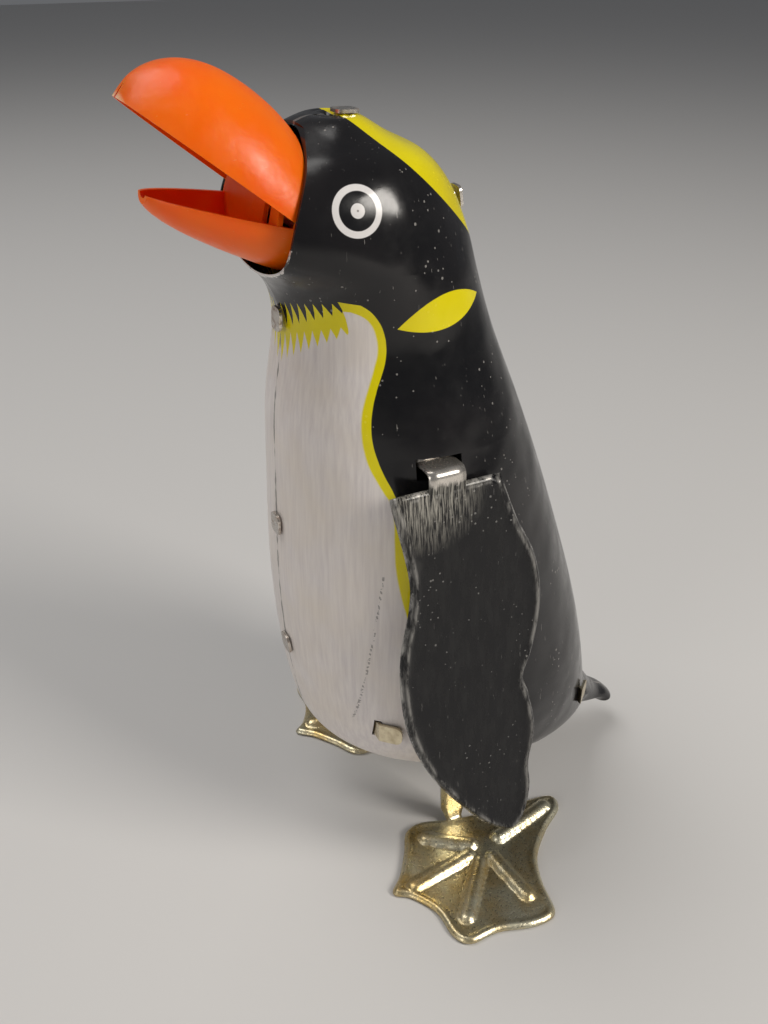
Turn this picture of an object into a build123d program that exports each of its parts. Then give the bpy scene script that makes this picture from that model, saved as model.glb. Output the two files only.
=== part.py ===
from build123d import *
import math
import os

os.makedirs("parts", exist_ok=True)

# Clockwork tin penguin: +Z up, facing -Y, its left side +X, all sizes in millimetres.
# The seam between the two pressed halves lies in the plane X = 0.

# ---------------------------------------------------------------- driving dimensions
sheet = 0.5            # tinplate of the body halves
frame_sheet = 0.8      # steel of the motor plates
strap_sheet = 0.6      # steel of the two mounting straps
running = 0.05         # radial clearance of every shaft in its hole
middle_y = 15.2        # the sub-parts are drawn about the neck; the whole is centred this far behind it

# Body stations from the crown to the tail: where the section meets the seam in front (y, z),
# where it meets the seam behind (y, z), and its half width.
stations = [
    (-10.0, 173.3, -5.5, 173.3, 3.5),
    (-17.5, 172.0, 1.0, 171.6, 10.3),
    (-27.0, 168.0, 8.8, 167.6, 17.4),
    (-35.0, 161.6, 15.0, 160.8, 21.4),
    (-36.0, 155.0, 18.4, 153.6, 22.6),
    (-24.7, 148.0, 20.0, 147.2, 22.7),
    (-19.4, 135.0, 23.8, 135.0, 23.6),
    (-21.2, 122.0, 29.2, 122.0, 26.5),
    (-22.2, 104.0, 36.4, 104.0, 30.2),
    (-22.8, 84.0, 43.8, 84.0, 32.4),
    (-22.0, 62.0, 51.2, 62.0, 33.8),
    (-19.6, 45.0, 55.8, 44.0, 33.8),
    (-14.0, 33.5, 59.5, 30.5, 29.5),
    (8.0, 27.0, 63.5, 23.0, 20.5),
    (38.0, 22.5, 67.5, 17.5, 11.5),
    (60.0, 14.5, 72.0, 12.5, 6.5),
    (70.0, 9.0, 76.0, 9.5, 5.0),
]

# Head opening for the beak, seen from the side: a cut that leans back towards the crown.
opening_low = (-24.6, 147.9)
opening_middle = (-22.6, 160.0)
opening_high = (-14.8, 172.6)

# Beak
pivot_y, pivot_z = -19.5, 158.0
upper_angle, upper_length, upper_half, upper_height = 38.8, 33.2, 17.4, 14.1
lower_angle, lower_length, lower_half, lower_height = 13.2, 24.4, 15.9, 9.8
beak_wall = 1.0
web_half = 14.6
throat_reach, throat_half, throat_depth, throat_rise = 3.9, 14.4, 8.7, 3.6
pin_radius, pin_half = 0.8, 18.4
lug_x, lug_reach = 8.0, 7.0

# Mounting straps through the body halves
strap_height, tab_corner = 4.6, 1.6
front_strap_y, front_strap_z = -10.0, 47.6
rear_strap_y, rear_strap_z = 47.0, 35.4

# Key
key_sleeve_radius = 2.4
key_inner_x, key_wing_x, key_outer_x = -24.0, -34.5, -44.0

# Motor
plate_x = 10.0
shaft_radius, shaft_half = 1.2, 12.0
pillar_radius, tenon_radius = 2.0, 1.2
arbor_y, arbor_z, arbor_radius = 33.0, 58.0, 1.6
module_1, great_teeth, pinion_teeth = 0.5, 44, 10
module_2, second_teeth = 0.5, 36
mesh_1_angle, mesh_2_angle = 197.3, 212.0
mesh_gap = 0.1
cam_radius, cam_throw, cam_half = 4.4, 1.4, 1.5
ratchet_radius, ratchet_teeth = 5.0, 12
pillar_places = [(-6.0, 47.0), (22.0, 74.0), (42.5, 38.0)]

# Legs
leg_y, leg_z, leg_shaft_radius = 15.0, 36.0, 1.5
leg_x, leg_sheet, leg_width = 16.5, 1.2, 8.0
foot_sheet = 0.8
foot_heel = (29.5, 16.9)
foot_points = [
    (16.0, 2.0), (21.3, -1.3), (27.3, -5.6), (31.2, -9.5), (34.3, -6.1), (40.5, -2.7), (47.9, -2.3),
    (51.3, 0.4), (51.4, 7.5), (53.9, 16.0), (52.9, 22.2), (44.4, 24.4), (37.1, 27.8), (30.9, 34.7),
    (26.2, 41.8), (21.6, 41.4), (20.2, 29.0), (17.6, 15.0), (15.0, 7.0),
]
foot_rib_ends = [(20.3, 5.3), (32.0, -4.1), (45.2, 2.8), (46.1, 19.0), (24.4, 38.2)]
foot_rib_width, foot_rib_height = 3.0, 0.7

# Pull rod to the beak, on the left of the motor
rod_radius, rod_x, rod_y, rod_z = 0.6, 15.0, 26.2, 34.6
guide_x, guide_z = 16.0, 68.0

# Mainspring, ratchet click and its rivet
spring_sheet, spring_inner, spring_step, spring_half_turns = 0.4, 2.2, 0.58, 15
click_y, click_z, click_rivet_radius = 34.0, 65.5, 0.7

# Flippers
hinge_x, hinge_y, hinge_z = 28.6, 1.2, 114.0
flipper_sheet, tab_width = 0.6, 8.0
flipper_lean = 5.7

mesh_1_reach = (great_teeth + pinion_teeth) * module_1 / 2 + mesh_gap
mesh_2_reach = (second_teeth + pinion_teeth) * module_2 / 2 + mesh_gap
second_y = arbor_y + mesh_1_reach * math.cos(math.radians(mesh_1_angle))
second_z = arbor_z + mesh_1_reach * math.sin(math.radians(mesh_1_angle))
cam_y = second_y + mesh_2_reach * math.cos(math.radians(mesh_2_angle))
cam_z = second_z + mesh_2_reach * math.sin(math.radians(mesh_2_angle))
pinion_1_phase = mesh_1_angle + 180 + 180 / pinion_teeth
pinion_2_phase = mesh_2_angle + 180 + 180 / pinion_teeth


def finish(node, name):
    """Label a finished sub-part and write it, moved so the whole toy stands centred on the origin."""
    placed = node.part.moved(Location((0, -middle_y, 0)))
    placed.label = name
    export_step(placed, f"parts/{name}.step")


def side_plane(x, y=0.0, z=0.0):
    """A sketch plane seen from the left side: sketch x is model y, sketch y is model z."""
    return Plane(origin=(x, y, z), x_dir=(0, 1, 0), z_dir=(1, 0, 0))


# ---------------------------------------------------------------- body halves
def station_wall(index):
    """In-plane wall of a station, thicker where the skin runs shallow, so the sheet stays even."""
    before = stations[max(index - 1, 0)]
    after = stations[min(index + 1, len(stations) - 1)]
    drop = abs(after[1] + after[3] - before[1] - before[3]) / 2
    slope = abs(after[4] - before[4]) / max(drop, 1.0)
    half_depth = math.dist(stations[index][0:2], stations[index][2:4]) / 2
    return min(sheet * math.hypot(1.0, slope), 0.8 * half_depth, 0.8 * stations[index][4])


def pressed_half():
    """Left half of the body, with the openings that both halves share."""
    with BuildPart() as half:
        for index, (front_y, front_z, back_y, back_z, half_width) in enumerate(stations):
            front = Vector(0, front_y, front_z)
            back = Vector(0, back_y, back_z)
            along = (back - front).normalized()
            depth = (back - front).length / 2
            wall = station_wall(index)
            section = Plane(origin=(front + back) / 2, x_dir=along, z_dir=along.cross(Vector(1, 0, 0)))
            with BuildSketch(section):
                with BuildLine():
                    EllipticalCenterArc((0, 0), depth, half_width, start_angle=0, arc_size=180)
                    Line((-depth, 0), (wall - depth, 0))
                    EllipticalCenterArc((0, 0), depth - wall, half_width - wall, start_angle=0, arc_size=180)
                    Line((depth - wall, 0), (depth, 0))
                make_face()
        loft()
        # opening for the beak
        with BuildSketch(side_plane(-1.0)):
            with BuildLine():
                Polyline(opening_high, (opening_high[0], 200), (-60, 200), (-60, opening_low[1]), opening_low)
                ThreePointArc(opening_low, opening_middle, opening_high)
            make_face()
        extrude(amount=40, mode=Mode.SUBTRACT)
        # slots for the tabs of the two mounting straps
        slot = strap_sheet + 0.8
        with Locations((22.0, front_strap_y, front_strap_z), (23.0, rear_strap_y, rear_strap_z)):
            Box(9, slot, strap_height + 0.8, mode=Mode.SUBTRACT)
        # slot that the flipper hangs in, and the slot that the leg swings in
        with Locations((hinge_x, hinge_y, hinge_z - 0.6)):
            Box(8, tab_width + 1.2, 4.4, mode=Mode.SUBTRACT)
        with Locations((leg_x + leg_sheet / 2, leg_y + 1.0, leg_z - 9)):
            Box(4, leg_width + 7, 14, mode=Mode.SUBTRACT)
    return half


with BuildPart() as left_body_shell:
    add(pressed_half().part)
finish(left_body_shell, "left_body_shell")

with BuildPart() as right_body_shell:
    mirror(left_body_shell.part, about=Plane.YZ)
    with BuildSketch(side_plane(-40.0)):
        with Locations((arbor_y, arbor_z)):
            Circle(key_sleeve_radius + 0.8)
    extrude(amount=20, mode=Mode.SUBTRACT)
finish(right_body_shell, "right_body_shell")

# Folded tabs that clinch the two halves along the seam: (y, z, lean of the seam in degrees).
# The lean is that of the outward normal, 0 facing the front, 90 facing up, 180 facing the back.
seam_tab_places = [
    (-19.7, 138.0, 4.0), (-22.4, 93.0, 0.0), (-21.7, 61.0, -6.0), (-5.5, 173.8, 92.0),
    (17.5, 157.0, 172.0), (37.1, 101.5, 160.0), (46.1, 77.0, 159.0), (53.0, 54.5, 164.0),
]
with BuildPart() as seam_tabs:
    for tab_y, tab_z, lean in seam_tab_places:
        outward = Vector(0, -math.cos(math.radians(lean)), math.sin(math.radians(lean)))
        base = Plane(origin=Vector(1.2, tab_y, tab_z) + outward * 0.45, x_dir=(1, 0, 0), z_dir=outward)
        with BuildSketch(base):
            RectangleRounded(4.2, 4.6, 1.2)
        extrude(amount=0.6)
finish(seam_tabs, "seam_tabs")

# ---------------------------------------------------------------- beak
# Each half of the beak is a scoop: half-ellipse arches that shrink from the hinge to the tip.
def rim_direction(angle):
    """Direction from the hinge line to the tip, in the seam plane."""
    return Vector(0, -math.cos(math.radians(angle)), math.sin(math.radians(angle)))


def arch_band(plane, half_width, height, start):
    """One arch of a scoop: a half-ellipse strip as thick as the beak wall."""
    with BuildSketch(plane) as band:
        with BuildLine():
            EllipticalCenterArc((0, 0), half_width, height, start_angle=start, arc_size=180)
            Line((-half_width, 0), (beak_wall - half_width, 0))
            EllipticalCenterArc((0, 0), half_width - beak_wall, height - beak_wall,
                                start_angle=start, arc_size=180)
            Line((half_width - beak_wall, 0), (half_width, 0))
        make_face()
    return band.sketch


def arch_plane(angle, distance):
    """Plane across the beak at a distance from the hinge line."""
    along = rim_direction(angle)
    return Plane(origin=Vector(0, pivot_y, pivot_z) + along * distance, x_dir=(1, 0, 0), z_dir=along)


with BuildPart() as upper_beak:
    upper_arches = []
    for step in [-0.1, 0.05, 0.2, 0.38, 0.56, 0.72, 0.85, 0.94, 0.985, 1.01]:
        width_share = (1.03 - max(step, 0.0) ** 2.4) ** 0.5
        height_share = (1.03 - abs((step - 0.46) / 0.56) ** 2.4) ** 0.5
        upper_arches.append(arch_band(
            arch_plane(upper_angle, step * upper_length),
            upper_half * width_share, max(upper_height * height_share, 1.5), 0))
    loft(upper_arches)
    # trimmed to a lip just inside the opening, leaving an ear at each side for the hinge pin
    with BuildSketch(side_plane(-30.0)):
        with BuildLine():
            Polyline((-21.2, 160.8), (-16.3, 172.5), (-16.3, 190), (20, 190), (20, 140), (-16.4, 140),
                     (-16.4, 160.8), close=True)
        make_face()
    extrude(amount=60, mode=Mode.SUBTRACT)
    # cross web and lug that the pull rod hooks into
    with BuildSketch(side_plane(lug_x)):
        with BuildLine():
            Polyline((-26.0, 167.5), (-21.5, 172.0), (-10.0, 160.6), (-10.0, 155.6), (-16.0, 155.6),
                     (-21.5, 160.0), close=True)
        make_face()
        with Locations((pivot_y + lug_reach, pivot_z)):
            SlotOverall(3.2, 2.1, mode=Mode.SUBTRACT)
    extrude(amount=1.5)
    with BuildSketch(side_plane(-web_half)):
        with Locations((-22.6, 167.0)):
            Rectangle(1.2, 3.0, rotation=-30)
    extrude(amount=2 * web_half)
    with Locations((0, pivot_y, pivot_z)):
        Cylinder(pin_radius + running, 60, rotation=(0, 90, 0), mode=Mode.SUBTRACT)
finish(upper_beak, "upper_beak")

with BuildPart() as lower_beak:
    lower_arches = []
    for step in [-0.04, 0.04, 0.15, 0.3, 0.45, 0.6, 0.75, 0.87, 0.95, 0.99]:
        share = (1.02 - max(step, 0.0)) ** 0.5
        lower_arches.append(arch_band(
            arch_plane(lower_angle, step * lower_length),
            max(lower_half * share, 1.6), max(lower_height * share, 1.4), 180))
    loft(lower_arches)
    for side in (-1, 1):
        with Locations((side * (lower_half - 1.0), pivot_y, pivot_z)):
            Cylinder(2.0, 1.2, rotation=(0, 90, 0))
    # throat wall that hides the pin, notched for the lug of the upper half
    with BuildSketch(arch_plane(lower_angle, throat_reach)):
        Ellipse(throat_half, throat_depth)
        with Locations((0, throat_rise + 10)):
            Rectangle(40, 20, mode=Mode.SUBTRACT)
        with Locations((lug_x + 0.75, throat_rise)):
            Rectangle(3.1, 2 * throat_rise + 2.0, mode=Mode.SUBTRACT)
    extrude(amount=0.9)
    with Locations((0, pivot_y, pivot_z)):
        Cylinder(pin_radius, 60, rotation=(0, 90, 0), mode=Mode.SUBTRACT)
finish(lower_beak, "lower_beak")

with BuildPart() as beak_pivot_pin:
    with BuildSketch(side_plane(-pin_half)):
        with Locations((pivot_y, pivot_z)):
            Circle(pin_radius)
    extrude(amount=2 * pin_half)
finish(beak_pivot_pin, "beak_pivot_pin")

# ---------------------------------------------------------------- flippers
flipper_points = [
    (13.3, 110.6), (17.1, 100.3), (21.9, 90.1), (23.4, 79.6), (21.8, 68.8), (19.4, 61.4), (21.0, 56.0),
    (22.8, 46.4), (21.4, 37.4), (21.9, 29.5), (20.2, 22.2), (16.6, 19.3), (10.4, 23.4), (4.6, 30.4),
    (-1.4, 39.0), (-5.8, 47.5), (-8.9, 56.8), (-10.1, 67.4), (-9.5, 77.0), (-7.4, 86.0), (-7.3, 94.0),
    (-10.8, 110.6),
]


def flipper(side):
    """Pressed sheet wing hung by its top tab; side is 1 for the left, -1 for the right."""
    lean = math.radians(flipper_lean)
    top_z = 110.8
    face = Plane(origin=(side * (hinge_x + 2.0), 0, top_z), x_dir=(0, 1, 0),
                 z_dir=(math.cos(lean), 0, side * math.sin(lean)))
    with BuildPart() as wing:
        with BuildSketch(face):
            with BuildLine():
                Spline(*[(y, (z - top_z) / math.cos(lean)) for y, z in flipper_points])
                Line((flipper_points[-1][0], (flipper_points[-1][1] - top_z) / math.cos(lean)),
                     (flipper_points[0][0], (flipper_points[0][1] - top_z) / math.cos(lean)))
            make_face()
        extrude(amount=side * flipper_sheet)
        # hinge tab: up from the top edge, in through the slot, and turned up inside the body
        with BuildSketch(Plane(origin=(0, hinge_y + tab_width / 2, 0), x_dir=(1, 0, 0), z_dir=(0, -1, 0))):
            with BuildLine():
                Polyline((side * (hinge_x + 2.35), 109.8), (side * (hinge_x + 2.2), hinge_z),
                         (side * (hinge_x - 2.8), hinge_z), (side * (hinge_x - 3.6), hinge_z + 2.8))
            trace(line_width=flipper_sheet)
        extrude(amount=tab_width)
    return wing


left_flipper = flipper(1)
finish(left_flipper, "left_flipper")
right_flipper = flipper(-1)
finish(right_flipper, "right_flipper")

# ---------------------------------------------------------------- motor frame
plate_points = [(-9.7, 43), (-9.7, 51.5), (0, 62), (12, 80), (26, 80), (42, 70), (46.7, 60), (46.7, 31.5), (14, 31),
                (-2, 37)]


def frame_plate(inner_x):
    """Side plate of the motor, bored for the shafts and the pillar tenons."""
    with BuildPart() as plate:
        with BuildSketch(side_plane(inner_x)) as face:
            with BuildLine():
                Polyline(*plate_points, close=True)
            make_face()
            corners = [point for point in face.vertices() if point.Y > 0]
            fillet(corners, radius=2.0)
            with Locations((arbor_y, arbor_z)):
                Circle(arbor_radius + running, mode=Mode.SUBTRACT)
            with Locations((second_y, second_z), (cam_y, cam_z)):
                Circle(shaft_radius + running, mode=Mode.SUBTRACT)
            with Locations((leg_y, leg_z)):
                Circle(leg_shaft_radius + running, mode=Mode.SUBTRACT)
            with Locations(*pillar_places):
                Circle(tenon_radius, mode=Mode.SUBTRACT)
            # lightening window in front of the gears
            with Locations((1.5, 53.0)):
                SlotOverall(6.0, 3.4, rotation=50, mode=Mode.SUBTRACT)
        extrude(amount=frame_sheet)
    return plate


left_frame_plate = frame_plate(plate_x)
finish(left_frame_plate, "left_frame_plate")
right_frame_plate = frame_plate(-plate_x - frame_sheet)
finish(right_frame_plate, "right_frame_plate")

# Three turned pillars, their ends riveted over outside the plates.
with BuildPart() as frame_pillars:
    for pillar_y, pillar_z in pillar_places:
        with Locations(Pos(0, pillar_y, pillar_z)):
            Cylinder(pillar_radius, 2 * plate_x, rotation=(0, 90, 0))
            Cylinder(tenon_radius, 2 * (plate_x + frame_sheet), rotation=(0, 90, 0))
        for side in (-1, 1):
            with Locations(Pos(side * (plate_x + frame_sheet + 0.3), pillar_y, pillar_z)):
                Cylinder(tenon_radius + 0.6, 0.6, rotation=(0, 90, 0))
finish(frame_pillars, "frame_pillars")


def mounting_strap(strap_y, strap_z, slot_x, tab_run, tab_rise):
    """Steel strip across the motor, its ends out through the body and bent over flat."""
    with BuildPart() as strap:
        with BuildSketch(Plane.XY.offset(strap_z - strap_height / 2)):
            with BuildLine():
                Polyline((-slot_x - tab_run, strap_y + tab_rise), (-slot_x, strap_y), (slot_x, strap_y),
                         (slot_x + tab_run, strap_y + tab_rise))
            trace(line_width=strap_sheet)
        extrude(amount=strap_height)
        # the ends of the tabs are rounded
        fillet([edge for edge in strap.edges() if abs(edge.length - strap_sheet) < 0.01], radius=tab_corner)
    return strap


front_mount_strap = mounting_strap(front_strap_y, front_strap_z, 24.7, 3.6, 3.7)
finish(front_mount_strap, "front_mount_strap")
rear_mount_strap = mounting_strap(rear_strap_y, rear_strap_z, 23.4, -3.0, 3.5)
finish(rear_mount_strap, "rear_mount_strap")

# Bracket on the left plate that keeps the pull rod upright.
with BuildPart() as rod_guide:
    with Locations((guide_x / 2 + plate_x / 2 + frame_sheet / 2 + 1.0, rod_y, guide_z)):
        Box(guide_x - plate_x - frame_sheet + 2.0, 5.0, 1.2)
    with Locations((plate_x + frame_sheet + 0.6, rod_y, guide_z - 2.4)):
        Box(1.2, 5.0, 6.0)
    with Locations((rod_x, rod_y, guide_z)):
        Cylinder(rod_radius + running, 10, mode=Mode.SUBTRACT)
finish(rod_guide, "rod_guide")


# ---------------------------------------------------------------- gear train
def tooth_points(centre_y, centre_z, teeth, module, phase):
    """Outline of a wheel with slim straight teeth; one tooth points along the phase angle."""
    pitch_radius = teeth * module / 2
    root, tip = pitch_radius - 1.15 * module, pitch_radius + 0.9 * module
    step = 2 * math.pi / teeth
    points = []
    for tooth in range(teeth):
        middle = math.radians(phase) + tooth * step
        for radius, swing in ((root, -0.2), (tip, -0.08), (tip, 0.08), (root, 0.2)):
            turn = middle + swing * step
            points.append((centre_y + radius * math.cos(turn), centre_z + radius * math.sin(turn)))
    return points


with BuildPart() as great_wheel:
    with BuildSketch(side_plane(-8.0)):
        with BuildLine():
            Polyline(*tooth_points(arbor_y, arbor_z, great_teeth, module_1, mesh_1_angle), close=True)
        make_face()
        with Locations((arbor_y, arbor_z)):
            Circle(arbor_radius + running, mode=Mode.SUBTRACT)
        with Locations((click_y, click_z)):
            Circle(click_rivet_radius, mode=Mode.SUBTRACT)
    extrude(amount=1.0)
finish(great_wheel, "great_wheel")

with BuildPart() as second_pinion:
    with BuildSketch(side_plane(-8.4)):
        with BuildLine():
            Polyline(*tooth_points(second_y, second_z, pinion_teeth, module_1, pinion_1_phase), close=True)
        make_face()
        with Locations((second_y, second_z)):
            Circle(shaft_radius, mode=Mode.SUBTRACT)
    extrude(amount=1.8)
finish(second_pinion, "second_pinion")

with BuildPart() as second_wheel:
    with BuildSketch(side_plane(7.0)):
        with BuildLine():
            Polyline(*tooth_points(second_y, second_z, second_teeth, module_2, mesh_2_angle), close=True)
        make_face()
        with Locations((second_y, second_z)):
            Circle(shaft_radius, mode=Mode.SUBTRACT)
            with PolarLocations(5.2, 4):
                Circle(1.7, mode=Mode.SUBTRACT)
    extrude(amount=1.0)
finish(second_wheel, "second_wheel")

with BuildPart() as cam_pinion:
    with BuildSketch(side_plane(6.4)):
        with BuildLine():
            Polyline(*tooth_points(cam_y, cam_z, pinion_teeth, module_2, pinion_2_phase), close=True)
        make_face()
        with Locations((cam_y, cam_z)):
            Circle(shaft_radius, mode=Mode.SUBTRACT)
    extrude(amount=2.2)
finish(cam_pinion, "cam_pinion")

with BuildPart() as second_shaft:
    with Locations((0, second_y, second_z)):
        Cylinder(shaft_radius, 2 * shaft_half, rotation=(0, 90, 0))
finish(second_shaft, "second_shaft")

with BuildPart() as cam_shaft:
    with Locations((0, cam_y, cam_z)):
        Cylinder(shaft_radius, 2 * shaft_half, rotation=(0, 90, 0))
finish(cam_shaft, "cam_shaft")

with BuildPart() as drive_cam:
    with BuildSketch(side_plane(-cam_half)):
        with Locations((cam_y, cam_z + cam_throw)):
            Circle(cam_radius)
        with Locations((cam_y, cam_z)):
            Circle(shaft_radius, mode=Mode.SUBTRACT)
    extrude(amount=2 * cam_half)
finish(drive_cam, "drive_cam")

# ---------------------------------------------------------------- spring, arbor and key
with BuildPart() as spring_arbor:
    with BuildSketch(side_plane(key_wing_x + 1.0)):
        with Locations((arbor_y, arbor_z)):
            Circle(arbor_radius)
    extrude(amount=shaft_half - key_wing_x - 1.0)
finish(spring_arbor, "spring_arbor")

# The ribbon is a chain of half turns, each centred half a step aside from the last.
with BuildPart() as mainspring:
    with BuildSketch(side_plane(-4.5)):
        coil_radius = spring_inner
        coil_centre = arbor_y
        for half_turn in range(spring_half_turns):
            with BuildLine():
                start = 180 * (half_turn % 2)
                outer = CenterArc((coil_centre, arbor_z), coil_radius + spring_sheet / 2, start, 180)
                inner = CenterArc((coil_centre, arbor_z), coil_radius - spring_sheet / 2, start, 180)
                Line(outer @ 0, inner @ 0)
                Line(outer @ 1, inner @ 1)
            make_face()
            last_y = coil_centre - coil_radius
            coil_centre += spring_step if half_turn % 2 == 0 else -spring_step
            coil_radius += spring_step
        # the outer end runs up to the top pillar
        hook_z = pillar_places[1][1] - pillar_radius
        with Locations((last_y, (arbor_z + hook_z) / 2)):
            Rectangle(spring_sheet, hook_z - arbor_z)
    extrude(amount=9.5)
finish(mainspring, "mainspring")

with BuildPart() as ratchet_wheel:
    with BuildSketch(side_plane(-6.7)):
        with BuildLine():
            ratchet_points = []
            for tooth in range(ratchet_teeth):
                for radius, share in ((ratchet_radius, 0.0), (ratchet_radius - 1.1, 0.04)):
                    turn = 2 * math.pi * (tooth + share) / ratchet_teeth
                    tooth_y = arbor_y + radius * math.cos(turn)
                    tooth_z = arbor_z + radius * math.sin(turn)
                    ratchet_points.append((tooth_y, tooth_z))
            Polyline(*ratchet_points, close=True)
        make_face()
        with Locations((arbor_y, arbor_z)):
            Circle(arbor_radius, mode=Mode.SUBTRACT)
    extrude(amount=1.0)
finish(ratchet_wheel, "ratchet_wheel")

with BuildPart() as click:
    with BuildSketch(side_plane(-7.0)):
        with BuildLine():
            Polyline((click_y - 1.3, click_z + 0.8), (click_y + 1.3, click_z + 0.8),
                     (click_y + 1.5, click_z - 1.0), (click_y + 2.8, click_z - 2.7),
                     (click_y + 2.3, click_z - 3.0), (click_y - 1.3, click_z - 1.0), close=True)
        make_face()
        with Locations((click_y, click_z)):
            Circle(click_rivet_radius, mode=Mode.SUBTRACT)
    extrude(amount=1.2)
finish(click, "click")

with BuildPart() as click_rivet:
    with Locations((-6.9, click_y, click_z)):
        Cylinder(click_rivet_radius, 2.2, rotation=(0, 90, 0))
    with Locations((-5.5, click_y, click_z)):
        Cylinder(click_rivet_radius + 0.5, 0.6, rotation=(0, 90, 0))
finish(click_rivet, "click_rivet")

with BuildPart() as click_spring:
    with BuildSketch(side_plane(-7.0)):
        with BuildLine():
            ThreePointArc((arbor_y + 8.2, arbor_z + 3.0), (arbor_y + 6.6, arbor_z + 6.0),
                          (click_y + 2.1, click_z - 0.2))
        trace(line_width=0.35)
    extrude(amount=0.8)
finish(click_spring, "click_spring")

with BuildPart() as winding_key:
    with BuildSketch(side_plane(key_wing_x - 1.5)):
        with Locations((arbor_y, arbor_z)):
            Circle(key_sleeve_radius)
    extrude(amount=key_inner_x - key_wing_x + 1.5)
    with BuildSketch(Plane(origin=(0, arbor_y - 0.6, arbor_z), x_dir=(1, 0, 0), z_dir=(0, 1, 0))):
        wing_centre = (key_wing_x + key_outer_x) / 2
        with Locations((wing_centre, 4.2), (wing_centre, -4.2)):
            Circle(4.2)
        with Locations((wing_centre + 1.0, 0)):
            Rectangle(key_wing_x - key_outer_x - 2.0, 6.0)
        with Locations((wing_centre, 4.8), (wing_centre, -4.8)):
            Circle(1.7, mode=Mode.SUBTRACT)
    extrude(amount=1.2)
    with BuildSketch(side_plane(key_inner_x)):
        with Locations((arbor_y, arbor_z)):
            Circle(arbor_radius)
    extrude(amount=key_wing_x + 1.0 - key_inner_x, mode=Mode.SUBTRACT)
finish(winding_key, "winding_key")

# ---------------------------------------------------------------- legs
with BuildPart() as leg_shaft:
    with Locations((0, leg_y, leg_z)):
        Cylinder(leg_shaft_radius, 2 * (leg_x + leg_sheet + 0.8), rotation=(0, 90, 0))
finish(leg_shaft, "leg_shaft")

with BuildPart() as left_leg:
    with BuildSketch(Plane.XY):
        with BuildLine():
            Spline(*foot_points, periodic=True)
        make_face()
    extrude(amount=foot_sheet)
    # embossed ribs that run out to the toes
    with BuildSketch(Plane.XY.offset(foot_sheet)):
        for rib_x, rib_y in foot_rib_ends:
            reach = math.dist((rib_x, rib_y), foot_heel)
            turn = math.degrees(math.atan2(rib_y - foot_heel[1], rib_x - foot_heel[0]))
            middle = (rib_x * 0.6 + foot_heel[0] * 0.4, rib_y * 0.6 + foot_heel[1] * 0.4)
            with Locations(Location(middle, turn)):
                SlotOverall(reach * 0.8, foot_rib_width)
    extrude(amount=foot_rib_height)
    # strip that rises from the foot to the shaft
    with BuildSketch(side_plane(leg_x)):
        with Locations((leg_y, leg_z / 2)):
            Rectangle(leg_width, leg_z)
        with Locations((leg_y, leg_z)):
            Circle(leg_width / 2)
            Circle(leg_shaft_radius, mode=Mode.SUBTRACT)
    extrude(amount=leg_sheet)
finish(left_leg, "left_leg")

with BuildPart() as right_leg:
    mirror(left_leg.part, about=Plane.YZ)
finish(right_leg, "right_leg")

with BuildPart() as cam_follower:
    with BuildSketch(side_plane(-cam_half)):
        with Locations((leg_y, leg_z)):
            Circle(leg_shaft_radius + 1.4)
        with BuildLine():
            Line((leg_y - 1.5, leg_z + 1.0), (leg_y - 14.5, leg_z + 10.0))
        trace(line_width=1.5)
        with Locations((leg_y, leg_z)):
            Circle(leg_shaft_radius, mode=Mode.SUBTRACT)
    extrude(amount=2 * cam_half)
finish(cam_follower, "cam_follower")

with BuildPart() as rocker_arm:
    with BuildSketch(side_plane(plate_x + 2.0)):
        with Locations((leg_y, leg_z)):
            Circle(leg_shaft_radius + 1.5)
        with Locations((rod_y, rod_z)):
            Circle(2.4)
        with BuildLine():
            Line((leg_y + 2.0, leg_z), (rod_y - 1.5, rod_z))
        trace(line_width=2.6)
        with Locations((leg_y, leg_z)):
            Circle(leg_shaft_radius, mode=Mode.SUBTRACT)
        with Locations((rod_y, rod_z)):
            Circle(rod_radius + 0.4, mode=Mode.SUBTRACT)
    extrude(amount=1.2)
finish(rocker_arm, "rocker_arm")

# Wire spring wound round the shaft between the right plate and the right leg.
with BuildPart() as leg_return_spring:
    with BuildLine():
        coil = Helix(1.0, 4.2, leg_shaft_radius + 0.9, center=(-leg_x + 0.4, leg_y, leg_z),
                     direction=(1, 0, 0))
    with BuildSketch(Plane(origin=coil @ 0, z_dir=coil % 0)):
        Circle(0.3)
    sweep(is_frenet=True)
finish(leg_return_spring, "leg_return_spring")

# ---------------------------------------------------------------- pull rod to the upper beak
lug_y = pivot_y + lug_reach
with BuildPart() as beak_rod:
    with BuildLine() as rod_path:
        FilletPolyline((plate_x + 1.4, rod_y, rod_z), (rod_x, rod_y, rod_z), (rod_x, rod_y, 92.0),
                       (rod_x - 2.5, lug_y, 118.0), (rod_x - 2.5, lug_y, pivot_z),
                       (lug_x - 0.8, lug_y, pivot_z), radius=1.6)
    with BuildSketch(Plane(origin=rod_path.line @ 0, z_dir=rod_path.line % 0)):
        Circle(rod_radius)
    sweep()
finish(beak_rod, "beak_rod")
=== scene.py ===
import math
import bpy
import bmesh
from mathutils import Matrix, Vector, geometry


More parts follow.
